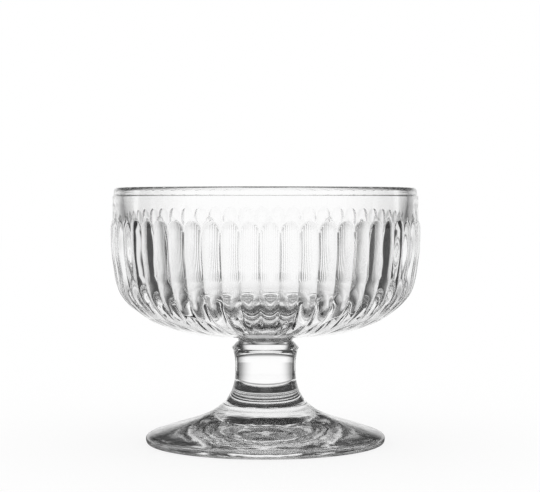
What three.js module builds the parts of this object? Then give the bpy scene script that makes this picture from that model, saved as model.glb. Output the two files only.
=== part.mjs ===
// Footed ice cream glass of clear pressed glass: a fluted bowl, a waisted stem with a collar, and a domed foot.
// Millimetres and degrees, +Z up. The origin is the centre of the ring on which the foot stands.
import * as THREE from 'three';

// Overall
const HEIGHT = 86.5; // table to the top of the lip

// Lip and plain band
const LIP_DIAMETER = 102.8;
const LIP_THICKNESS = 3.0; // the lip ends in a half round of this width
const LIP_HEIGHT = 2.8; // from the mould seam to the top of the lip
const BAND_DIAMETER = 103.6;
const BAND_HEIGHT = 8.0; // from the mould seam down to the tips of the flutes

// Flutes: round ribs side by side, with sharp grooves between them
const FLUTE_COUNT = 52;
const FLUTE_HEIGHT = 1.1; // crest above groove where the bowl is widest
const FLUTE_END_LENGTH = 3.6; // the rounded upper end of each flute
const FLUTE_LOW_SHARE = 0.12; // share of the height that is left where the flutes come together under the bowl
const FLUTE_LOW_HEIGHT = 6.3; // from the belly's lowest level up to where they begin to gain height
const FLUTE_GAIN_HEIGHT = 9.0; // from there up to where they have it all

// Outer wall of the bowl, measured in the grooves
const GROOVE_DIAMETER = 103.0; // at the upper end of the grooves
const BELLY_DIAMETER = 100.6; // where the wall turns into the belly
const WALL_ANGLE = 83.3; // slope of the wall at that turn
const WALL_LOWER_PULL = 5.0; // how long the wall keeps to that slope
const WALL_UPPER_PULL = 8.0; // how long the wall is upright below the upper end of the grooves
const BELLY_HEIGHT = 21.4; // from the belly's lowest level up to the turn
const BELLY_WALL_PULL = 15.2; // how long the belly keeps to the wall's slope
const BELLY_ROOT_PULL = 19.8; // how long the belly stays level as it leaves the root
const ROOT_DIAMETER = 28.0; // where the level belly meets the neck's fillet

// Inside of the bowl
const WALL_THICKNESS = 4.2; // between the inside and the grooves
const BASE_THICKNESS = 5.1; // between the inside and the belly's lowest level
const INSIDE_WALL_PULL = 8.0; // how long the inside keeps to the wall's line
const FLOOR_PULL = 34.0; // how long the inside stays level as it leaves its middle

// Neck, collar and stem
const NECK_DIAMETER = 18.4; // weld of bowl and stem
const NECK_FILLET = 2.2; // height of the fillet between neck and belly
const SHOULDER_DIAMETER = 20.2; // blunt crease on the collar's slope
const SHOULDER_DROP = 0.75; // from the neck down to that crease
const COLLAR_DIAMETER = 22.8; // sharp lower edge of the collar
const COLLAR_HEIGHT = 2.25; // from that edge up to the neck
const TUCK_ANGLE = 40; // how steeply the stem draws in below the collar
const TUCK_PULL = 0.6;
const WAIST_DIAMETER = 20.6;
const WAIST_DROP = 8.15; // from the collar's edge down to the waist
const WAIST_UPPER_PULL = 5.5; // how long the stem stays straight above and below the waist
const WAIST_LOWER_PULL = 4.2;
const STEM_HEIGHT = 20.3; // weld to weld

// Foot
const FOOT_DIAMETER = 81.2;
const FOOT_HEIGHT = 14.2; // table to the weld of stem and foot
const FOOT_WELD_DIAMETER = 27.2;
const FLARE_ANGLE = 49.5; // slope of the flare at the weld
const FLARE_STEM_PULL = 3.1; // how long the flare keeps that slope above and below the weld
const FLARE_FOOT_PULL = 7.0;
const BRIM_ANGLE = 19; // slope of the outer part of the foot
const BRIM_WIDTH = 5.4;
const BRIM_PULL = 6.9; // how long the flare keeps to the brim's slope
const EDGE_HEIGHT = 3.3; // table to the shoulder of the rounded edge
const EDGE_WIDTH = 2.0; // shoulder to the widest circle
const EDGE_WIDEST = 1.6; // table to the widest circle
const EDGE_UNDERCUT = 1.1; // widest circle to the bearing ring
const BEARING_WIDTH = 3.2; // flat ring that the glass stands on
const HOLLOW_RISE = 1.5; // height of the hollowed underside where the recess begins
const RECESS_DIAMETER = 27.0; // round recess in the middle of the underside
const RECESS_DEPTH = 0.5;

// Fineness: facets round the axis, and steps along each curve
const FACETS_PER_FLUTE = 4;
const FLUTED = FLUTE_COUNT * FACETS_PER_FLUTE;
const FINE = FLUTE_COUNT * 2;
const COARSE = FLUTE_COUNT;
const BELLY_STEPS = 8;
const CURVE_STEPS = 5;
const ROUND_STEPS = 6;
const FILLET_STEPS = 3;
const WALL_STEPS = 3;
const FLUTE_END_STATIONS = [0.4, 0.7, 0.9]; // shares of the rounded end's length

// Levels and radii that follow from the sizes above
const footWeld = FOOT_HEIGHT;
const neckWeld = footWeld + STEM_HEIGHT;
const collarEdge = neckWeld - COLLAR_HEIGHT;
const waist = collarEdge - WAIST_DROP;
const bellyBottom = neckWeld + NECK_FILLET;
const bellyTop = bellyBottom + BELLY_HEIGHT;
const fluteLow = bellyBottom + FLUTE_LOW_HEIGHT;
const floor = bellyBottom + BASE_THICKNESS;
const seam = HEIGHT - LIP_HEIGHT;
const fluteTip = seam - BAND_HEIGHT;
const fluteFull = fluteTip - FLUTE_END_LENGTH;
const lipRound = LIP_THICKNESS / 2;
const lipShoulder = HEIGHT - lipRound;
const bandRadius = BAND_DIAMETER / 2;
const lipRadius = LIP_DIAMETER / 2;
const grooveRadius = GROOVE_DIAMETER / 2;
const bellyRadius = BELLY_DIAMETER / 2;
const rootRadius = ROOT_DIAMETER / 2;
const neckRadius = NECK_DIAMETER / 2;
const weldRadius = FOOT_WELD_DIAMETER / 2;
const footRadius = FOOT_DIAMETER / 2;

const at = (r, z) => new THREE.Vector2(r, z);

/** The place reached from `start` by going `length` at `degrees` from level; the profile's plane is (r, z). */
function onward(start, degrees, length) {
  const angle = THREE.MathUtils.degToRad(degrees);
  return at(start.x + length * Math.cos(angle), start.y + length * Math.sin(angle));
}

/** The place `length` from `start` along the line from `start` towards `target`. */
function towards(start, target, length) {
  return target.clone().sub(start).setLength(length).add(start);
}

/**
 * A ring of points about the axis at one place of a profile. `lift` says how far each point stands out along the
 * profile's outward normal, by its angle.
 */
function ring(place, facets, normal = at(0, 0), lift = () => 0) {
  return Array.from({ length: facets }, (_, index) => {
    const angle = (index / facets) * 2 * Math.PI;
    const out = lift(angle);
    const r = place.x + out * normal.x;
    return new THREE.Vector3(r * Math.cos(angle), r * Math.sin(angle), place.y + out * normal.y);
  });
}

/** Plain rings along a curve, without its first place, which the curve before it has made. */
function ringsAlong(curve, steps, facets) {
  return curve.getPoints(steps).slice(1).map((place) => ring(place, facets));
}

/** How far a flute stands out at an angle, for a height of crest and a share (0 to 1) of its rounded end. */
function fluteLift(crest, endShare) {
  return (angle) => {
    const pitches = (angle * FLUTE_COUNT) / (2 * Math.PI);
    const fromCrest = 2 * Math.abs(pitches - Math.round(pitches)); // 0 on the crest, 1 in the groove
    return crest * Math.max(0, 1 - fromCrest ** 2 - endShare ** 2);
  };
}

/** A ring of the fluted wall. The flutes are almost flat under the bowl and end in a round tip at the top. */
function fluteRing(place, direction) {
  const normal = at(direction.y, -direction.x).normalize();
  const gain = THREE.MathUtils.smoothstep(place.y, fluteLow, fluteLow + FLUTE_GAIN_HEIGHT);
  const share = THREE.MathUtils.lerp(FLUTE_LOW_SHARE, 1, gain);
  const crest = (FLUTE_HEIGHT * share * place.x) / bandRadius;
  const endShare = THREE.MathUtils.clamp((place.y - fluteFull) / FLUTE_END_LENGTH, 0, 1);
  return ring(place, FLUTED, normal, fluteLift(crest, endShare));
}

/**
 * A closed solid skinned over rings, from its first middle point on the axis to its last. The rings may differ in
 * how many points they have. Seen along the way from first to last, the material lies on the axis's left.
 */
function skin(firstZ, rings, lastZ) {
  const stack = [[new THREE.Vector3(0, 0, firstZ)], ...rings, [new THREE.Vector3(0, 0, lastZ)]];
  const starts = [];
  const positions = [];
  stack.forEach((points) => {
    starts.push(positions.length / 3);
    points.forEach((p) => positions.push(p.x, p.y, p.z));
  });
  const triangles = [];
  for (let k = 0; k + 1 < stack.length; k += 1) {
    const lower = stack[k].length;
    const upper = stack[k + 1].length;
    const below = (i) => starts[k] + (i % lower);
    const above = (j) => starts[k + 1] + (j % upper);
    const lowerEnd = lower > 1 ? lower : 0;
    const upperEnd = upper > 1 ? upper : 0;
    let i = 0;
    let j = 0;
    // Zip the two rings together, each time from the ring whose next point comes first. Where the points come
    // together, the facets lean one way on one side of a flute's crest and the other way on its other side.
    while (i < lowerEnd || j < upperEnd) {
      const lead = (j + 1) * lower - (i + 1) * upper;
      const lean = (i + j) % (2 * FACETS_PER_FLUTE) < FACETS_PER_FLUTE;
      const lowerFirst = lead > 0 || (lead === 0 && lean);
      if (j >= upperEnd || (i < lowerEnd && lowerFirst)) {
        triangles.push(below(i), below(i + 1), above(j));
        i += 1;
      } else {
        triangles.push(below(i), above(j + 1), above(j));
        j += 1;
      }
    }
  }
  const geometry = new THREE.BufferGeometry();
  geometry.setAttribute('position', new THREE.Float32BufferAttribute(positions, 3));
  geometry.setIndex(triangles);
  geometry.computeVertexNormals();
  return geometry;
}

/** Rings of the fluted wall along a curve, from its first place on. */
function fluteRingsAlong(curve, steps) {
  return Array.from({ length: steps + 1 }, (_, step) => {
    const share = step / steps;
    return fluteRing(curve.getPoint(share), curve.getTangent(share));
  });
}

/** The bowl: neck fillet, fluted belly and wall, plain band, lip, and the smooth inside down to its middle. */
function bowlGeometry() {
  const neck = at(neckRadius, neckWeld);
  const root = at(rootRadius, bellyBottom);
  const turn = at(bellyRadius, bellyTop);
  const wallTop = at(grooveRadius, fluteFull);
  const tip = at(bandRadius, fluteTip);

  const fillet = new THREE.EllipseCurve(
    rootRadius, neckWeld, rootRadius - neckRadius, NECK_FILLET, Math.PI, Math.PI / 2, true,
  );
  const belly = new THREE.CubicBezierCurve(
    root, onward(root, 0, BELLY_ROOT_PULL), onward(turn, WALL_ANGLE, -BELLY_WALL_PULL), turn,
  );
  const wall = new THREE.CubicBezierCurve(
    turn, onward(turn, WALL_ANGLE, WALL_LOWER_PULL), onward(wallTop, -90, WALL_UPPER_PULL), wallTop,
  );
  const upright = at(0, 1);
  const endRings = FLUTE_END_STATIONS.map((share) => fluteRing(wallTop.clone().lerp(tip, share), upright));
  const lip = new THREE.EllipseCurve(lipRadius - lipRound, lipShoulder, lipRound, lipRound, 0, Math.PI);

  const inner = at(lipRadius - LIP_THICKNESS, lipShoulder);
  const innerTurn = at(bellyRadius - WALL_THICKNESS, bellyTop);
  const middle = at(0, floor);
  const inside = new THREE.CubicBezierCurve(
    innerTurn, towards(innerTurn, inner, -INSIDE_WALL_PULL), onward(middle, 0, FLOOR_PULL), middle,
  );

  return skin(neckWeld, [
    ring(neck, COARSE),
    ...ringsAlong(fillet, FILLET_STEPS, COARSE).slice(0, -1),
    ...fluteRingsAlong(belly, BELLY_STEPS),
    ...fluteRingsAlong(wall, WALL_STEPS).slice(1),
    ...endRings,
    ring(tip, FINE),
    ring(at(bandRadius, seam), FINE),
    ring(at(lipRadius, seam), FINE),
    ring(at(lipRadius, lipShoulder), FINE),
    ...ringsAlong(lip, ROUND_STEPS, FINE),
    ring(innerTurn, FINE),
    ...ringsAlong(inside, BELLY_STEPS, FINE).slice(0, -1),
  ], floor);
}

/** The stem: flare above the foot, waist, sharp-edged collar and the neck that carries the bowl. */
function stemGeometry() {
  const weld = at(weldRadius, footWeld);
  const narrow = at(WAIST_DIAMETER / 2, waist);
  const edge = at(COLLAR_DIAMETER / 2, collarEdge);
  const flare = new THREE.CubicBezierCurve(
    weld, onward(weld, 180 - FLARE_ANGLE, FLARE_STEM_PULL), onward(narrow, -90, WAIST_LOWER_PULL), narrow,
  );
  const tuck = new THREE.CubicBezierCurve(
    narrow, onward(narrow, 90, WAIST_UPPER_PULL), onward(edge, TUCK_ANGLE - 180, TUCK_PULL), edge,
  );
  return skin(footWeld, [
    ring(weld, COARSE),
    ...ringsAlong(flare, CURVE_STEPS, COARSE),
    ...ringsAlong(tuck, CURVE_STEPS, COARSE),
    ring(at(SHOULDER_DIAMETER / 2, neckWeld - SHOULDER_DROP), COARSE),
    ring(at(neckRadius, neckWeld), COARSE),
  ], neckWeld);
}

/** The foot: recessed and hollowed underside, flat bearing ring, rounded edge, sloping brim and flare. */
function footGeometry() {
  const recessRadius = RECESS_DIAMETER / 2;
  const bearingOuter = footRadius - EDGE_UNDERCUT;
  const bearingInner = bearingOuter - BEARING_WIDTH;
  const shoulder = at(footRadius - EDGE_WIDTH, EDGE_HEIGHT);
  const widest = at(footRadius, EDGE_WIDEST);
  const bearingEdge = at(bearingOuter, 0);
  const brimTop = onward(shoulder, 180 - BRIM_ANGLE, BRIM_WIDTH);
  const weld = at(weldRadius, footWeld);

  const hollowStart = at(recessRadius, HOLLOW_RISE);
  const hollow = new THREE.QuadraticBezierCurve(
    hollowStart, at((recessRadius + bearingInner) / 2, HOLLOW_RISE), at(bearingInner, 0),
  );
  const underEdge = new THREE.QuadraticBezierCurve(bearingEdge, at(footRadius, 0), widest);
  const overEdge = new THREE.QuadraticBezierCurve(widest, at(footRadius, EDGE_HEIGHT - EDGE_WIDTH / 3), shoulder);
  const flare = new THREE.CubicBezierCurve(
    brimTop,
    onward(brimTop, 180 - BRIM_ANGLE, BRIM_PULL),
    onward(weld, -FLARE_ANGLE, FLARE_FOOT_PULL),
    weld,
  );
  const recessTop = HOLLOW_RISE + RECESS_DEPTH;
  return skin(recessTop, [
    ring(at(recessRadius, recessTop), COARSE),
    ring(hollowStart, COARSE),
    ...ringsAlong(hollow, FILLET_STEPS, COARSE).slice(0, -1),
    ring(at(bearingInner, 0), FINE),
    ring(bearingEdge, FINE),
    ...ringsAlong(underEdge, FILLET_STEPS, FINE),
    ...ringsAlong(overEdge, FILLET_STEPS, FINE),
    ring(brimTop, FINE),
    ...ringsAlong(flare, CURVE_STEPS, COARSE),
  ], footWeld);
}

/** Clear soda-lime glass, fire-polished. */
function clearGlass() {
  return new THREE.MeshStandardMaterial({
    color: 0xeef3f2, roughness: 0.04, metalness: 0, transparent: true, opacity: 0.35,
  });
}

function piece(name, geometry) {
  const mesh = new THREE.Mesh(geometry, clearGlass());
  mesh.name = name;
  return mesh;
}

const glass = new THREE.Group();
glass.name = 'ice_cream_glass';
glass.add(
  piece('bowl', bowlGeometry()),
  piece('stem', stemGeometry()),
  piece('foot', footGeometry()),
);

export default glass;
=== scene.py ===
"""Looks of a footed ice cream glass of clear pressed glass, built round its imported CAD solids.

Profiles are drawn in millimetres in the plane (radius, height), spun round the axis in edit mode and scaled
to metres as they are drawn. The bowl, the stem and the foot are separate closed pieces that meet at two
welds. A weld has no optical boundary in the real glass, so its faces are fully clear.
"""

import logging
import math
from collections.abc import Callable, Sequence
from dataclasses import dataclass, field
from enum import Enum

import bpy
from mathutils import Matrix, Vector


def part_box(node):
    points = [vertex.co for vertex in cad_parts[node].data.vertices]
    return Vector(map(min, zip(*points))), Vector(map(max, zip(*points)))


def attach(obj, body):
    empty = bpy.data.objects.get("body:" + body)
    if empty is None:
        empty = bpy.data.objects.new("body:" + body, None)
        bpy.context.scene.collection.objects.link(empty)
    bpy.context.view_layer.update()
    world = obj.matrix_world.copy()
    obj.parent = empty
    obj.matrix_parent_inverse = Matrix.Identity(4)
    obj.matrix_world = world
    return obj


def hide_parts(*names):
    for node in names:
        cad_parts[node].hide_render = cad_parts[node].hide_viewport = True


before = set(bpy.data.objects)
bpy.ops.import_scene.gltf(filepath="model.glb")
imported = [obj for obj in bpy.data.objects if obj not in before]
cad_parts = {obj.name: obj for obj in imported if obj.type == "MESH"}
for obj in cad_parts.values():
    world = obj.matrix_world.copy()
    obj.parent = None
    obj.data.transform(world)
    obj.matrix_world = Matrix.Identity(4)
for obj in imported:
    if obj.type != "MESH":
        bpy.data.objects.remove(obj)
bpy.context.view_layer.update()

LOG = logging.getLogger("ice_cream_glass")
MM = 0.001
FULL_TURN = 2.0 * math.pi
MERGE_DISTANCE = 0.002  # vertices of a spin that lie closer than this, in millimetres, become one
LEVEL_NORMAL = 0.999  # least upright share of a level face's normal
LEVEL_TOLERANCE = 0.01  # how far from a weld's level, in millimetres, its faces may lie
BODY = "root"

Place = tuple[float, float]


class Node(Enum):
    """CAD nodes that the pieces stand for."""

    BOWL = "bowl"
    STEM = "stem"
    FOOT = "foot"


class Skin(Enum):
    """Material slots of a piece."""

    GLASS = 0
    WELD = 1
    UNDERSIDE = 2


def lowest(node: Node) -> float:
    """Height of a CAD node's lowest point, in millimetres."""
    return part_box(node.value)[0].z / MM


def highest(node: Node) -> float:
    """Height of a CAD node's highest point, in millimetres."""
    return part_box(node.value)[1].z / MM


def reach(node: Node) -> float:
    """Largest radius of a CAD node, in millimetres."""
    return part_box(node.value)[1].x / MM


def linear_colour(code: str) -> tuple[float, float, float, float]:
    """Turns an sRGB hex value into a linear colour.

    Args:
        code: six hex digits.

    Returns:
        Red, green, blue and an alpha of 1.
    """
    shares = [int(code[i:i + 2], 16) / 255.0 for i in (0, 2, 4)]
    red, green, blue = [s / 12.92 if s <= 0.04045 else ((s + 0.055) / 1.055) ** 2.4 for s in shares]
    return red, green, blue, 1.0


def add_node(tree: bpy.types.NodeTree, kind: str, settings: dict | None = None,
             **inputs: object) -> bpy.types.Node:
    """Adds a node with its settings, input values and links.

    Args:
        tree: node tree to add to.
        kind: the node's type name.
        settings: properties of the node itself.
        **inputs: value or output socket for each input, by the input's name with _ for spaces, or in0, in1
            by place.

    Returns:
        The new node.
    """
    node = tree.nodes.new(kind)
    for name, value in (settings or {}).items():
        setattr(node, name, value)
    for name, value in inputs.items():
        numbered = name.startswith("in") and name[2:].isdigit()
        socket = node.inputs[int(name[2:])] if numbered else node.inputs[name.replace("_", " ")]
        if isinstance(value, bpy.types.NodeSocket):
            tree.links.new(value, socket)
        else:
            socket.default_value = value
    return node


def calculate(tree: bpy.types.NodeTree, operation: str, *values: object) -> bpy.types.NodeSocket:
    """Adds a Math node with its values or links in order, and gives its output."""
    inputs = {f"in{place}": value for place, value in enumerate(values)}
    return add_node(tree, "ShaderNodeMath", {"operation": operation}, **inputs).outputs[0]


def blend(tree: bpy.types.NodeTree, share: bpy.types.NodeSocket, first: object,
          second: object) -> bpy.types.NodeSocket:
    """Adds a Mix node that goes from the first value to the second as the share goes from 0 to 1."""
    mix = add_node(tree, "ShaderNodeMix", {"data_type": "FLOAT"}, in0=share, in2=first, in3=second)
    return mix.outputs[0]


def onward(start: Place, degrees: float, length: float) -> Place:
    """The place reached from start by going length at an angle from level."""
    angle = math.radians(degrees)
    return start[0] + length * math.cos(angle), start[1] + length * math.sin(angle)


def curve(first: Place, leave: Place, arrive: Place, last: Place, steps: int) -> list[Place]:
    """Places along a cubic curve, without its first one.

    Args:
        first: where the curve starts.
        leave: handle that it leaves towards.
        arrive: handle that it arrives from.
        last: where the curve ends.
        steps: number of places.

    Returns:
        The places in order.
    """
    places = []
    for step in range(1, steps + 1):
        t = step / steps
        s = 1.0 - t
        weights = (s ** 3, 3 * s * s * t, 3 * s * t * t, t ** 3)
        corners = (first, leave, arrive, last)
        places.append(tuple(sum(w * c[axis] for w, c in zip(weights, corners)) for axis in (0, 1)))
    return places


def round_off(first: Place, corner: Place, last: Place, steps: int) -> list[Place]:
    """Places along a curve that leaves towards a corner and arrives from it, without its first one."""
    pull = 2 / 3  # share of each leg that makes the cubic curve one of second degree
    leave, arrive = [tuple(e + (c - e) * pull for e, c in zip(end, corner)) for end in (first, last)]
    return curve(first, leave, arrive, last, steps)


def arc(centre: Place, radii: Place, start: float, end: float, steps: int) -> list[Place]:
    """Places along an arc of an ellipse, without its first one; the angles are in degrees from level."""
    angles = [math.radians(start + (end - start) * step / steps) for step in range(1, steps + 1)]
    return [(centre[0] + radii[0] * math.cos(a), centre[1] + radii[1] * math.sin(a)) for a in angles]


def line(first: Place, last: Place, steps: int) -> list[Place]:
    """Places along a straight line, without its first one."""
    shares = [step / steps for step in range(1, steps + 1)]
    return [tuple(a + (b - a) * s for a, b in zip(first, last)) for s in shares]


def draw_profile(name: str, places: Sequence[Place]) -> bpy.types.Object:
    """Draws a profile in the plane of X and Z: a small plane merged to one vertex, which is extruded along.

    Args:
        name: name of the new object.
        places: radius and height of each vertex, in millimetres.

    Returns:
        The object, in edit mode, with the last vertex selected.
    """
    bpy.ops.object.select_all(action="DESELECT")
    bpy.ops.mesh.primitive_plane_add(size=MM, location=(0.0, 0.0, 0.0))
    obj = bpy.context.object
    obj.name = obj.data.name = name
    bpy.ops.object.mode_set(mode="EDIT")
    bpy.ops.mesh.merge(type="CENTER")
    here = Vector((0.0, 0.0, 0.0))
    there = Vector((places[0][0] * MM, 0.0, places[0][1] * MM))
    bpy.ops.transform.translate(value=there - here)
    for radius, height in places[1:]:
        here, there = there, Vector((radius * MM, 0.0, height * MM))
        bpy.ops.mesh.extrude_region_move(TRANSFORM_OT_translate={"value": there - here})
    return obj


def mark_profile(obj: bpy.types.Object, name: str, places: Sequence[Place],
                 share: Callable[[Place], float]) -> None:
    """Keeps a share on the first vertices of a profile, in a vertex group that the spin carries round.

    Args:
        obj: the drawn profile, in edit mode.
        name: name of the vertex group.
        places: the places that the share is kept for, in the order in which they were drawn.
        share: gives the share, 0 to 1, from a place.
    """
    bpy.ops.object.mode_set(mode="OBJECT")
    group = obj.vertex_groups.new(name=name)
    for index, place in enumerate(places):
        group.add([index], share(place), "REPLACE")
    bpy.ops.object.mode_set(mode="EDIT")


def spin_profile(obj: bpy.types.Object, facets: int) -> None:
    """Spins the profile that is open in edit mode round the axis and closes the solid's seam and poles."""
    bpy.ops.mesh.select_all(action="SELECT")
    bpy.ops.mesh.spin(steps=facets, angle=FULL_TURN, center=(0, 0, 0), axis=(0, 0, 1))
    bpy.ops.mesh.select_all(action="SELECT")
    bpy.ops.mesh.remove_doubles(threshold=MERGE_DISTANCE * MM)
    bpy.ops.mesh.normals_make_consistent(inside=False)
    bpy.ops.object.mode_set(mode="OBJECT")
    LOG.info("%s: %d vertices after the spin", obj.name, len(obj.data.vertices))


def raise_surface(obj: bpy.types.Object, name: str, height: float) -> None:
    """Raises the surface along its normals by the shares in a vertex group, and drops the group.

    Args:
        obj: object to shape.
        name: name of the vertex group.
        height: rise in millimetres at a share of 1.
    """
    rise = obj.modifiers.new(name, "DISPLACE")
    rise.vertex_group = name
    rise.direction = "NORMAL"
    rise.mid_level = 0.0
    rise.strength = height * MM
    bpy.context.view_layer.objects.active = obj
    bpy.ops.object.modifier_apply(modifier=name)
    obj.vertex_groups.remove(obj.vertex_groups[name])


@dataclass(frozen=True)
class PressedGlass:
    """Clear soda-lime glass, pressed in a mould and fire-polished.

    It is colourless and very smooth. A faint unevenness of the mould, a few millimetres long, makes what is
    seen through it swim a little.
    """

    name: str = "pressed_soda_lime_glass"
    colour: str = "FFFFFF"
    ior: float = 1.52
    roughness: float = 0.0
    unevenness_length: float = 9.0
    unevenness_depth: float = 0.01
    unevenness_detail: float = 2.0

    def relief(self, tree: bpy.types.NodeTree, place: bpy.types.NodeSocket) -> bpy.types.NodeSocket:
        """Adds nodes for the height of the surface's fine relief.

        Args:
            tree: node tree to add to.
            place: place on the object.

        Returns:
            The height in millimetres.
        """
        noise = add_node(tree, "ShaderNodeTexNoise", Vector=place, Scale=1.0 / (self.unevenness_length * MM),
                         Detail=self.unevenness_detail)
        return calculate(tree, "MULTIPLY", noise.outputs[0], self.unevenness_depth)

    def make(self) -> bpy.types.Material:
        """Makes the glass.

        Returns:
            The material.
        """
        material = bpy.data.materials.new(self.name)
        material.use_nodes = True
        tree = material.node_tree
        tree.nodes.clear()
        place = add_node(tree, "ShaderNodeTexCoord").outputs["Object"]
        bump = add_node(tree, "ShaderNodeBump", Strength=1.0, Distance=MM, Height=self.relief(tree, place))
        shader = add_node(tree, "ShaderNodeBsdfPrincipled", Base_Color=linear_colour(self.colour),
                          Roughness=self.roughness, IOR=self.ior, Transmission_Weight=1.0,
                          Normal=bump.outputs["Normal"])
        add_node(tree, "ShaderNodeOutputMaterial", Surface=shader.outputs[0])
        return material


@dataclass(frozen=True)
class MouldedUnderside(PressedGlass):
    """The foot's underside as the mould left it, not fire-polished, with a ring of small plain dots.

    Its waves and slight dullness break what is seen in it into soft grey patches, and the dots sparkle.
    """

    name: str = "as_moulded_soda_lime_glass"
    roughness: float = 0.07
    unevenness_length: float = 7.0
    unevenness_depth: float = 0.16
    dot_count: int = 30
    dot_ring_diameter: float = 30.0
    dot_diameter: float = 1.8
    dot_height: float = 0.3

    def relief(self, tree: bpy.types.NodeTree, place: bpy.types.NodeSocket) -> bpy.types.NodeSocket:
        """Adds the ring of dots to the uneven surface; arguments and result as in plain pressed glass."""
        ring = self.dot_ring_diameter / 2 * MM
        parts = add_node(tree, "ShaderNodeSeparateXYZ", in0=place)
        turn = calculate(tree, "ARCTAN2", parts.outputs["Y"], parts.outputs["X"])
        along = calculate(tree, "MULTIPLY", calculate(tree, "PINGPONG", turn, math.pi / self.dot_count), ring)
        level = add_node(tree, "ShaderNodeVectorMath", {"operation": "MULTIPLY"}, in0=place,
                         in1=(1.0, 1.0, 0.0))
        radius = add_node(tree, "ShaderNodeVectorMath", {"operation": "LENGTH"}, in0=level.outputs[0])
        across = calculate(tree, "SUBTRACT", radius.outputs["Value"], ring)
        middle = add_node(tree, "ShaderNodeCombineXYZ", X=along, Y=across)
        away = add_node(tree, "ShaderNodeVectorMath", {"operation": "LENGTH"}, in0=middle.outputs[0])
        dot = add_node(tree, "ShaderNodeMapRange", {"interpolation_type": "SMOOTHSTEP"},
                       Value=away.outputs["Value"], From_Min=0.0, From_Max=self.dot_diameter / 2 * MM,
                       To_Min=self.dot_height, To_Max=0.0)
        return calculate(tree, "ADD", super().relief(tree, place), dot.outputs[0])


@dataclass(frozen=True)
class WeldedGlass:
    """The plane of a hot weld inside the glass. The glass is one mass there, so nothing shows."""

    name: str = "fused_glass_weld"

    def make(self) -> bpy.types.Material:
        """Makes the clear faces of a weld.

        Returns:
            The material.
        """
        material = bpy.data.materials.new(self.name)
        material.use_nodes = True
        tree = material.node_tree
        tree.nodes.clear()
        shader = add_node(tree, "ShaderNodeBsdfPrincipled", Alpha=0.0)
        add_node(tree, "ShaderNodeOutputMaterial", Surface=shader.outputs[0])
        return material


@dataclass
class GlassPiece:
    """A turned piece of the glass: what the bowl, the stem and the foot have in common."""

    node: Node
    slot: str
    facets: int
    sharp_angle: float = 35.0
    weld_levels: tuple[float, ...] = ()
    obj: bpy.types.Object | None = None

    def profile(self) -> list[Place]:
        """The profile from axis to axis, in millimetres."""
        raise NotImplementedError

    def mark(self) -> None:
        """Work on the drawn profile before the spin; a plain piece has none."""

    def shape(self) -> None:
        """Work on the surface after the spin; a plain piece has none."""

    def build(self) -> None:
        """Spins the profile and shapes its surface."""
        self.obj = draw_profile(self.node.value + "_glass", self.profile())
        self.mark()
        spin_profile(self.obj, self.facets)
        self.shape()
        bpy.ops.object.select_all(action="DESELECT")
        self.obj.select_set(True)
        bpy.context.view_layer.objects.active = self.obj
        bpy.ops.object.shade_smooth_by_angle(angle=math.radians(self.sharp_angle))

    def skin(self, face: bpy.types.MeshPolygon) -> Skin:
        """Which material slot a face takes: the weld's on the weld levels, and plain glass elsewhere."""
        flat = abs(face.normal.z) > LEVEL_NORMAL
        welded = any(abs(face.center.z / MM - level) < LEVEL_TOLERANCE for level in self.weld_levels)
        return Skin.WELD if flat and welded else Skin.GLASS

    def dress(self, finishes: dict[Skin, bpy.types.Material]) -> None:
        """Gives the piece its finishes and puts it in the CAD node's place.

        Args:
            finishes: material of each slot.
        """
        for slot in Skin:
            self.obj.data.materials.append(finishes[slot])
        for face in self.obj.data.polygons:
            face.material_index = self.skin(face).value
        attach(self.obj, BODY)
        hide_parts(self.node.value)
        LOG.info("%s: %d faces, stands for %s", self.obj.name, len(self.obj.data.polygons), self.node.value)


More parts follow.
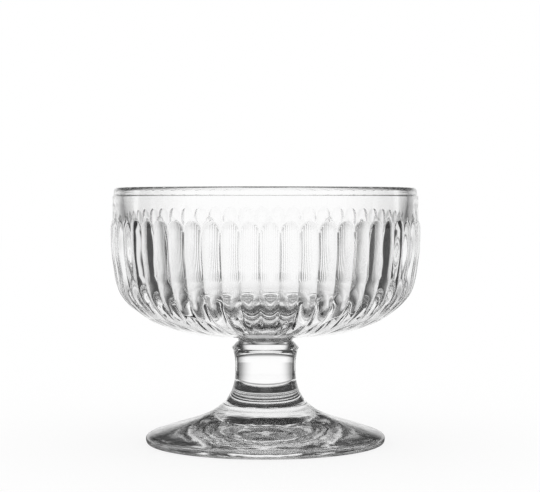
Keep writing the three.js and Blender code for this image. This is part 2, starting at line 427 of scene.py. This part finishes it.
@dataclass
class Bowl(GlassPiece):
    """The bowl: neck fillet, fluted belly and wall, plain band, lip and smooth inside, in millimetres."""

    node: Node = Node.BOWL
    slot: str = "glass_bowl"
    flute_count: int = 52
    facets_per_flute: int = 14
    facets: int = flute_count * facets_per_flute
    sharp_angle: float = 65.0
    flute_height: float = 1.1
    flute_end: float = 3.6
    flute_low_share: float = 0.12
    flute_low_height: float = 6.3
    flute_gain_height: float = 9.0
    top: float = field(default_factory=lambda: highest(Node.BOWL))
    neck: float = field(default_factory=lambda: lowest(Node.BOWL))
    lip_diameter: float = 102.8
    lip_thickness: float = 3.0
    lip_height: float = 2.8
    seam_round: float = 0.15
    band_diameter: float = 103.6
    band_height: float = 8.0
    groove_diameter: float = 103.0
    belly_diameter: float = 100.6
    belly_height: float = 21.4
    wall_angle: float = 83.3
    wall_lower_pull: float = 5.0
    wall_upper_pull: float = 8.0
    belly_wall_pull: float = 15.2
    belly_root_pull: float = 19.8
    root_diameter: float = 28.0
    wall: float = 4.2
    base: float = 5.1
    inside_wall_pull: float = 8.0
    floor_pull: float = 34.0
    neck_diameter: float = 18.4
    neck_fillet: float = 2.2
    fillet_steps: int = 8
    belly_steps: int = 40
    wall_steps: int = 8
    flute_end_steps: int = 14
    band_steps: int = 5
    seam_steps: int = 3
    lip_steps: int = 14
    inside_wall_steps: int = 5
    inside_steps: int = 26

    def __post_init__(self) -> None:
        """Works out the levels that the sizes give."""
        self.weld_levels = (self.neck,)
        self.belly_bottom = self.neck + self.neck_fillet
        self.belly_top = self.belly_bottom + self.belly_height
        self.floor = self.belly_bottom + self.base
        self.seam = self.top - self.lip_height
        self.flute_tip = self.seam - self.band_height
        self.flute_full = self.flute_tip - self.flute_end

    def fluted(self) -> list[Place]:
        """The lower part of the outer profile, from the middle of the weld to the tips of the flutes."""
        neck_radius, root_radius = self.neck_diameter / 2, self.root_diameter / 2
        root = (root_radius, self.belly_bottom)
        turn = (self.belly_diameter / 2, self.belly_top)
        wall_top = (self.groove_diameter / 2, self.flute_full)
        return [
            (0.0, self.neck), (neck_radius, self.neck),
            *arc((root_radius, self.neck), (root_radius - neck_radius, self.neck_fillet), 180.0, 90.0,
                 self.fillet_steps),
            *curve(root, onward(root, 0.0, self.belly_root_pull),
                   onward(turn, self.wall_angle, -self.belly_wall_pull), turn, self.belly_steps),
            *curve(turn, onward(turn, self.wall_angle, self.wall_lower_pull),
                   onward(wall_top, -90.0, self.wall_upper_pull), wall_top, self.wall_steps),
            *line(wall_top, (self.band_diameter / 2, self.flute_tip), self.flute_end_steps),
        ]

    def band_and_lip(self) -> list[Place]:
        """The upper part of the outer profile, with a short step beside each bend to keep the flats flat."""
        band, lip = self.band_diameter / 2, self.lip_diameter / 2
        lip_round, bend = self.lip_thickness / 2, self.seam_round
        return [
            *line((band, self.flute_tip), (band, self.seam - 3 * bend), self.band_steps),
            (band, self.seam - bend),
            *arc((band - bend, self.seam - bend), (bend, bend), 0.0, 90.0, self.seam_steps),
            (lip + bend, self.seam), (lip, self.seam + bend), (lip, self.seam + 3 * bend),
            (lip, self.top - lip_round - bend), (lip, self.top - lip_round),
            *arc((lip - lip_round, self.top - lip_round), (lip_round, lip_round), 0.0, 180.0, self.lip_steps),
        ]

    def inside(self) -> list[Place]:
        """The inner profile, from the lip down to its middle, round all the way."""
        rim = (self.lip_diameter / 2 - self.lip_thickness, self.top - self.lip_thickness / 2)
        below_rim = (rim[0], rim[1] - self.seam_round)
        turn = (self.belly_diameter / 2 - self.wall, self.belly_top)
        wall_angle = math.degrees(math.atan2(rim[1] - turn[1], rim[0] - turn[0]))
        middle = (0.0, self.floor)
        return [
            below_rim,
            *line(below_rim, turn, self.inside_wall_steps),
            *curve(turn, onward(turn, wall_angle, -self.inside_wall_pull),
                   onward(middle, 0.0, self.floor_pull), middle, self.inside_steps),
        ]

    def profile(self) -> list[Place]:
        """The whole profile."""
        return self.fluted() + self.band_and_lip() + self.inside()

    def crest_share(self, place: Place) -> float:
        """Height of a flute's crest at a place of the profile, as a share of the full height.

        Args:
            place: radius and height.

        Returns:
            0 at the neck, a low share under the bowl, nearly 1 on the wall.
        """
        radius, height = place
        gain = (height - self.belly_bottom - self.flute_low_height) / self.flute_gain_height
        gain = min(1.0, max(0.0, gain))
        share = self.flute_low_share + (1.0 - self.flute_low_share) * gain * gain * (3.0 - 2.0 * gain)
        fade = min(1.0, (height - self.neck) / self.neck_fillet)
        return share * fade * radius / (self.band_diameter / 2)

    def end_share(self, place: Place) -> float:
        """How far up the rounded end of a flute a place of the profile is, 0 to 1."""
        return min(1.0, max(0.0, (place[1] - self.flute_full) / self.flute_end))

    def mark(self) -> None:
        """Keeps the height of the crests and the rounded ends on the fluted part of the profile."""
        mark_profile(self.obj, "crests", self.fluted(), self.crest_share)
        mark_profile(self.obj, "ends", self.fluted(), self.end_share)

    def shape(self) -> None:
        """Raises the flutes: round from groove to groove, and round at their upper ends."""
        crests, ends = self.obj.vertex_groups["crests"], self.obj.vertex_groups["ends"]
        flutes = self.obj.vertex_groups.new(name="flutes")
        for vertex in self.obj.data.vertices:
            shares = {group.group: group.weight for group in vertex.groups}
            if crests.index in shares:
                pitches = math.atan2(vertex.co.y, vertex.co.x) / FULL_TURN * self.flute_count
                from_crest = 2.0 * abs(pitches - round(pitches))
                section = max(0.0, 1.0 - from_crest ** 2 - shares[ends.index] ** 2)
                flutes.add([vertex.index], shares[crests.index] * section, "REPLACE")
        raise_surface(self.obj, "flutes", self.flute_height)
        self.obj.vertex_groups.clear()


@dataclass
class Stem(GlassPiece):
    """The stem: flare above the foot, waist, sharp-edged collar and neck. Sizes in millimetres."""

    node: Node = Node.STEM
    slot: str = "glass_stem"
    facets: int = 208
    bottom: float = field(default_factory=lambda: lowest(Node.STEM))
    neck: float = field(default_factory=lambda: highest(Node.STEM))
    weld_diameter: float = field(default_factory=lambda: 2 * reach(Node.STEM))
    neck_diameter: float = 18.4
    shoulder_diameter: float = 20.2
    shoulder_drop: float = 0.75
    collar_diameter: float = 22.8
    collar_height: float = 2.25
    tuck_angle: float = 68.0
    tuck_pull: float = 3.0
    waist_diameter: float = 20.6
    waist_drop: float = 8.15
    waist_upper_pull: float = 3.5
    waist_lower_pull: float = 4.2
    flare_angle: float = 49.5
    flare_pull: float = 3.1
    flare_steps: int = 24
    waist_steps: int = 20
    collar_steps: int = 5

    def __post_init__(self) -> None:
        """Works out the weld levels."""
        self.weld_levels = (self.bottom, self.neck)

    def profile(self) -> list[Place]:
        """The profile from the lower weld to the upper one."""
        weld = (self.weld_diameter / 2, self.bottom)
        edge = (self.collar_diameter / 2, self.neck - self.collar_height)
        waist = (self.waist_diameter / 2, edge[1] - self.waist_drop)
        shoulder = (self.shoulder_diameter / 2, self.neck - self.shoulder_drop)
        neck = (self.neck_diameter / 2, self.neck)
        return [
            (0.0, self.bottom), weld,
            *curve(weld, onward(weld, 180.0 - self.flare_angle, self.flare_pull),
                   onward(waist, -90.0, self.waist_lower_pull), waist, self.flare_steps),
            *curve(waist, onward(waist, 90.0, self.waist_upper_pull),
                   onward(edge, self.tuck_angle - 180.0, self.tuck_pull), edge, self.waist_steps),
            *line(edge, shoulder, self.collar_steps),
            *line(shoulder, neck, self.collar_steps),
            (0.0, self.neck),
        ]


@dataclass
class Foot(GlassPiece):
    """The foot: hollowed underside, bearing ring, rounded edge, sloping brim and flare, in millimetres."""

    node: Node = Node.FOOT
    slot: str = "glass_foot"
    facets: int = 416
    radius: float = field(default_factory=lambda: reach(Node.FOOT))
    top: float = field(default_factory=lambda: highest(Node.FOOT))
    weld_diameter: float = 27.2
    flare_angle: float = 49.5
    flare_pull: float = 7.0
    brim_angle: float = 19.0
    brim_width: float = 5.4
    brim_pull: float = 6.9
    edge_height: float = 3.3
    edge_width: float = 2.0
    edge_widest: float = 1.6
    edge_undercut: float = 1.1
    edge_slope: float = 1 / 3
    bearing_width: float = 3.2
    hollow_rise: float = 1.5
    recess_diameter: float = 27.0
    recess_depth: float = 0.5
    hollow_steps: int = 20
    edge_steps: int = 10
    brim_steps: int = 4
    flare_steps: int = 30

    def __post_init__(self) -> None:
        """Works out the weld level."""
        self.weld_levels = (self.top,)

    def profile(self) -> list[Place]:
        """The profile from the middle of the underside to the weld."""
        recess = self.recess_diameter / 2
        outer = self.radius - self.edge_undercut
        inner = outer - self.bearing_width
        shoulder = (self.radius - self.edge_width, self.edge_height)
        widest = (self.radius, self.edge_widest)
        brim = onward(shoulder, 180.0 - self.brim_angle, self.brim_width)
        weld = (self.weld_diameter / 2, self.top)
        recess_top = self.hollow_rise + self.recess_depth
        hollow = (recess, self.hollow_rise)
        hollow_corner = ((recess + inner) / 2, self.hollow_rise)
        edge_corner = (self.radius, self.edge_height - self.edge_width * self.edge_slope)
        return [
            (0.0, recess_top), (recess, recess_top), hollow,
            *round_off(hollow, hollow_corner, (inner, 0.0), self.hollow_steps),
            (outer, 0.0),
            *round_off((outer, 0.0), (self.radius, 0.0), widest, self.edge_steps),
            *round_off(widest, edge_corner, shoulder, self.edge_steps),
            *line(shoulder, brim, self.brim_steps),
            *curve(brim, onward(brim, 180.0 - self.brim_angle, self.brim_pull),
                   onward(weld, -self.flare_angle, self.flare_pull), weld, self.flare_steps),
            (0.0, self.top),
        ]

    def skin(self, face: bpy.types.MeshPolygon) -> Skin:
        """The underside, out to the bearing ring, has its own finish."""
        hidden = face.normal.z < 0.0 and face.center.xy.length < (self.radius - self.edge_undercut) * MM
        return Skin.UNDERSIDE if hidden else super().skin(face)


@dataclass(frozen=True)
class Ramp:
    """A soft change between two angles, in degrees."""

    start: float
    end: float

    def rise(self, tree: bpy.types.NodeTree, angle: bpy.types.NodeSocket) -> bpy.types.NodeSocket:
        """Adds nodes that go from 0 at the start to 1 at the end.

        Args:
            tree: node tree to add to.
            angle: angle in radians.

        Returns:
            The output socket.
        """
        return add_node(tree, "ShaderNodeMapRange", {"interpolation_type": "SMOOTHSTEP"}, Value=angle,
                        From_Min=math.radians(self.start), From_Max=math.radians(self.end),
                        To_Min=0.0, To_Max=1.0).outputs[0]


@dataclass(frozen=True)
class Band:
    """What lies between two soft changes."""

    enter: Ramp
    leave: Ramp

    def share(self, tree: bpy.types.NodeTree, angle: bpy.types.NodeSocket) -> bpy.types.NodeSocket:
        """Adds nodes that give 1 inside the band and 0 outside it."""
        return calculate(tree, "SUBTRACT", self.enter.rise(tree, angle), self.leave.rise(tree, angle))


@dataclass(frozen=True)
class Surround:
    """Bright-field surround that the glass bends and mirrors: levels where 1 is white, angles in degrees.

    Angles are taken sideways from straight behind the object, and upwards. A lit white sheet stands behind.
    The sides are dark, with one narrow bright strip each, and the room in front is bright. Overhead it
    darkens with height. Painted shade darkens the table under the middle of the foot, and a painted contact
    shadow lies where the foot's ring stands on it. The levels were chosen for the front view.
    """

    sheet_edge: Ramp = Ramp(26.0, 66.0)
    sheet_low_edge: Ramp = Ramp(16.0, 57.0)
    low: Ramp = Ramp(-4.5, -1.0)
    side_level: float = 0.035
    strip: Band = Band(Ramp(61.0, 64.0), Ramp(69.0, 71.0))
    strip_foot: Ramp = Ramp(-22.0, -14.0)
    strip_level: float = 0.8
    front_edge: Ramp = Ramp(79.0, 113.0)
    front_level: float = 0.9
    overhead_edge: Ramp = Ramp(8.0, 14.0)
    overhead_level: float = 0.4
    overhead_fade: Ramp = Ramp(12.0, 18.0)
    overhead_top_level: float = 0.03
    overhead_side_edge: Ramp = Ramp(15.0, 50.0)
    overhead_side_level: float = 0.04
    overhead_front_edge: Ramp = Ramp(150.0, 170.0)
    overhead_front_level: float = 0.8
    # painted contact shadow: a dark ring on the table where the foot's ring stands, shown only to the glass
    painted_contact_shadow: Band = Band(Ramp(-58.0, -53.0), Ramp(-48.5, -44.0))
    painted_contact_shadow_level: float = 0.08
    # painted shade: a dark disc on the table under the middle of the foot, shown only to the glass
    shade_edge: Ramp = Ramp(-67.0, -62.0)
    shade_level: float = 0.05

    def level(self, tree: bpy.types.NodeTree, way: bpy.types.NodeSocket) -> bpy.types.NodeSocket:
        """Adds nodes for the surround's brightness in a direction.

        Args:
            tree: node tree to add to.
            way: direction from the object.

        Returns:
            The brightness.
        """
        unit = add_node(tree, "ShaderNodeVectorMath", {"operation": "NORMALIZE"}, in0=way)
        parts = add_node(tree, "ShaderNodeSeparateXYZ", in0=unit.outputs[0])
        across = calculate(tree, "ABSOLUTE", parts.outputs["X"])
        aside = calculate(tree, "ARCTAN2", across, parts.outputs["Y"])
        upward = calculate(tree, "ARCSINE", parts.outputs["Z"])
        beside = blend(tree, self.low.rise(tree, upward), self.sheet_low_edge.rise(tree, aside),
                       self.sheet_edge.rise(tree, aside))
        around = blend(tree, beside, 1.0, self.side_level)
        strip = calculate(tree, "MULTIPLY", self.strip.share(tree, aside), self.strip_foot.rise(tree, upward))
        around = blend(tree, strip, around, self.strip_level)
        around = blend(tree, self.front_edge.rise(tree, aside), around, self.front_level)
        above = blend(tree, self.overhead_fade.rise(tree, upward), self.overhead_level,
                      self.overhead_top_level)
        above = blend(tree, self.overhead_side_edge.rise(tree, aside), above, self.overhead_side_level)
        above = blend(tree, self.overhead_front_edge.rise(tree, aside), above, self.overhead_front_level)
        around = blend(tree, self.overhead_edge.rise(tree, upward), around, above)
        # painted contact shadow of the foot's ring on the table
        around = blend(tree, self.painted_contact_shadow.share(tree, upward), around, self.painted_contact_shadow_level)
        # painted shade on the table under the middle of the foot
        return blend(tree, self.shade_edge.rise(tree, upward), self.shade_level, around)


@dataclass
class Studio:
    """Bright-field studio: a pale floor, white for the camera, and the surround that the glass shows."""

    floor_size: float = 6.0
    floor_colour: str = "FFFFFF"
    floor_glow: float = 0.8
    floor_drop: float = 0.1
    eye_height: float = 50.0
    glass_bounces: int = 32
    gloss_bounces: int = 16
    surround: Surround = Surround()

    def bent_rays(self, tree: bpy.types.NodeTree) -> bpy.types.NodeSocket:
        """Adds nodes that give 1 for rays that come through glass or off a gloss, and 0 for others."""
        rays = add_node(tree, "ShaderNodeLightPath")
        return calculate(tree, "MAXIMUM", rays.outputs["Is Transmission Ray"], rays.outputs["Is Glossy Ray"])

    def make_world(self) -> None:
        """White for the camera and diffuse light, and the surround for what the glass bends and mirrors."""
        world = bpy.data.worlds.new("studio_surround")
        bpy.context.scene.world = world
        world.use_nodes = True
        tree = world.node_tree
        tree.nodes.clear()
        way = add_node(tree, "ShaderNodeTexCoord")
        level = blend(tree, self.bent_rays(tree), 1.0, self.surround.level(tree, way.outputs["Generated"]))
        background = add_node(tree, "ShaderNodeBackground", Color=linear_colour(self.floor_colour),
                              Strength=level)
        add_node(tree, "ShaderNodeOutputWorld", Surface=background.outputs[0])

    def make_floor(self) -> None:
        """A white floor that keeps a faint shadow and carries the surround on below the horizon."""
        bpy.ops.object.select_all(action="DESELECT")
        bpy.ops.mesh.primitive_plane_add(size=self.floor_size, location=(0.0, 0.0, -self.floor_drop * MM))
        floor = bpy.context.object
        floor.name = "studio_floor"
        material = bpy.data.materials.new("white_studio_paper")
        material.use_nodes = True
        tree = material.node_tree
        tree.nodes.clear()
        colour = linear_colour(self.floor_colour)
        paper = add_node(tree, "ShaderNodeBsdfDiffuse", Color=colour)
        glow = add_node(tree, "ShaderNodeEmission", Color=colour, Strength=1.0)
        seen = add_node(tree, "ShaderNodeMixShader", in0=self.floor_glow, in1=paper.outputs[0],
                        in2=glow.outputs[0])
        place = add_node(tree, "ShaderNodeTexCoord")
        way = add_node(tree, "ShaderNodeVectorMath", {"operation": "SUBTRACT"}, in0=place.outputs["Object"],
                       in1=(0.0, 0.0, self.eye_height * MM))
        # the glass sees the floor as the surround, with its painted shade and painted contact shadow under
        # the foot
        bent = add_node(tree, "ShaderNodeEmission", Color=colour,
                        Strength=self.surround.level(tree, way.outputs[0]))
        shown = add_node(tree, "ShaderNodeMixShader", in0=self.bent_rays(tree), in1=seen.outputs[0],
                         in2=bent.outputs[0])
        add_node(tree, "ShaderNodeOutputMaterial", Surface=shown.outputs[0])
        floor.data.materials.append(material)

    def build(self) -> None:
        """Makes the surround and the floor."""
        self.make_world()
        self.make_floor()
        scene = bpy.context.scene
        scene.view_settings.view_transform = "Standard"
        scene.cycles.max_bounces = self.glass_bounces
        scene.cycles.transmission_bounces = self.glass_bounces
        scene.cycles.glossy_bounces = self.gloss_bounces
        scene.cycles.transparent_max_bounces = self.glass_bounces


@dataclass
class Viewpoint:
    """Camera at the photograph's place. Lengths in millimetres, angles in degrees."""

    distance: float = 560.0
    height: float = 81.94
    turn: float = 1.56
    down: float = 1.56
    aside: float = 0.16
    lens: float = 109.86
    sensor: float = 36.0

    def build(self) -> None:
        """Makes the camera and sets it as the scene's."""
        data = bpy.data.cameras.new("camera")
        data.sensor_fit = "HORIZONTAL"
        data.sensor_width = self.sensor
        data.lens = self.lens
        camera = bpy.data.objects.new("camera", data)
        bpy.context.scene.collection.objects.link(camera)
        turn = math.radians(self.turn)
        camera.location = (-self.distance * MM * math.sin(turn), -self.distance * MM * math.cos(turn),
                           self.height * MM)
        camera.rotation_euler = (math.radians(90.0 - self.down), 0.0, math.radians(-self.turn - self.aside))
        bpy.context.scene.camera = camera


def main() -> None:
    """Builds the camera, the studio and the three pieces of glass."""
    logging.basicConfig(level=logging.INFO, format="%(name)s: %(message)s")
    Viewpoint().build()
    Studio().build()
    finishes = {
        Skin.GLASS: PressedGlass().make(),
        Skin.WELD: WeldedGlass().make(),
        Skin.UNDERSIDE: MouldedUnderside().make(),
    }
    for piece in (Bowl(), Stem(), Foot()):
        piece.build()
        piece.dress(finishes)


if __name__ == "__main__":
    main()
